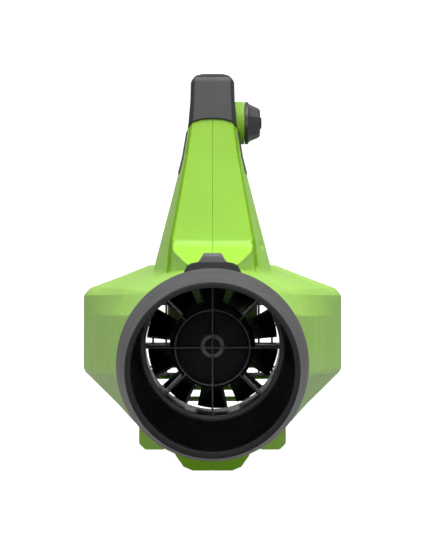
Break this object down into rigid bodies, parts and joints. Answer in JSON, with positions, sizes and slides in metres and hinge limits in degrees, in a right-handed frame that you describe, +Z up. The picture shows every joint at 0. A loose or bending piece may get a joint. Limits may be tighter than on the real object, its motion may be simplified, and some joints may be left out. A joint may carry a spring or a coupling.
{
  "type": "leaf blower",
  "caption": "Hand-held battery leaf blower with a straight round blow tube, axial fan, winged body, loop handle and slide-in battery.",
  "frame": {"origin": "on the floor, at the centre of the whole blower's length and width", "axes": "+Z up, the nozzle points along -Y and the battery along +Y, +X is the side with the speed dial"},
  "size_m": [0.2374, 0.82, 0.324],
  "materials": {
    "green_shell": "fine satin texture",
    "dark_tube": "fine matt texture",
    "dark_button": "fine matt texture",
    "black_duct": "semi-matt",
    "black_fan": "satin",
    "soft_grip": "soft matt",
    "seal_rubber": "matt",
    "dial_plastic": "satin",
    "dial_cap": "gloss",
    "battery_plastic": "fine matt texture",
    "steel": "machined",
    "aluminium": "cast",
    "cell_wrap": "shrink sleeve",
    "copper": "enamelled wire",
    "electronics": "satin"
  },
  "bodies": {
    "housing": {"tube_seal": "seal_rubber", "fan_duct": "black_duct", "outlet_guard": "black_duct", "motor_nose": "black_duct", "motor_can": "aluminium", "motor_stator": "steel", "motor_windings": "copper", "motor_front_plate": "aluminium", "motor_rear_plate": "aluminium", "front_bearing": "steel", "rear_bearing": "steel", "motor_screws": "steel", "housing_left": "green_shell", "housing_right": "green_shell", "housing_screws": "steel", "handle_grip": "soft_grip", "grip_back": "soft_grip", "grip_underside": "soft_grip", "trigger_pin": "steel", "trigger_spring": "steel", "trigger_switch": "electronics", "dial_boss": "green_shell", "dial_potentiometer": "electronics", "rear_cover": "green_shell", "intake_grille": "black_duct", "battery_bay": "green_shell", "terminal_block": "electronics", "control_board": "electronics", "heat_sink": "aluminium", "battery_leads": "copper", "motor_leads": "copper", "switch_leads": "copper"},
    "fan": {"motor_shaft": "steel", "motor_rotor": "steel", "fan_impeller": "black_fan", "fan_nut": "steel"},
    "tube": {"nozzle": "dark_tube", "blower_tube": "dark_tube", "tube_collar": "dark_tube", "tube_button_spring": "steel"},
    "tube_button": {"tube_button": "dark_button"},
    "trigger": {"trigger": "dark_button"},
    "dial": {"speed_dial": "dial_plastic", "dial_cap": "dial_cap"},
    "battery": {"battery_case": "battery_plastic", "battery_lid": "battery_plastic", "battery_cells": "cell_wrap", "battery_button_spring": "steel"},
    "battery_button": {"battery_button": "dark_button"}
  },
  "joints": [
    {"name": "fan_spin", "type": "hinge", "parent": "housing", "child": "fan", "pos_m": [0, 0.22, 0.098], "axis": [0, 1, 0], "continuous": true},
    {"name": "tube_slide", "type": "slide", "parent": "housing", "child": "tube", "axis": [0, -1, 0], "range_m": [0, 0.06]},
    {"name": "tube_button_press", "type": "slide", "parent": "tube", "child": "tube_button", "axis": [0, 0, -1], "range_m": [0, 0.0025], "stiffness_N_per_m": 400, "springref_m": -0.002, "deforming": ["tube_button_spring"]},
    {"name": "trigger_pull", "type": "hinge", "parent": "housing", "child": "trigger", "pos_m": [0, 0.192, 0.294], "axis": [1, 0, 0], "range_deg": [0, 10], "stiffness_Nm_per_rad": 0.6, "springref_deg": -6.88, "deforming": ["trigger_spring"]},
    {"name": "dial_turn", "type": "hinge", "parent": "housing", "child": "dial", "pos_m": [0.034, 0.16, 0.2858], "axis": [1, 0, 0], "range_deg": [-135, 135]},
    {"name": "battery_slide", "type": "slide", "parent": "housing", "child": "battery", "axis": [0, 1, 0], "range_m": [0, 0.09]},
    {"name": "battery_button_press", "type": "slide", "parent": "battery", "child": "battery_button", "axis": [0, 0, -1], "range_m": [0, 0.003], "stiffness_N_per_m": 400, "springref_m": -0.002, "deforming": ["battery_button_spring"]}
  ]
}
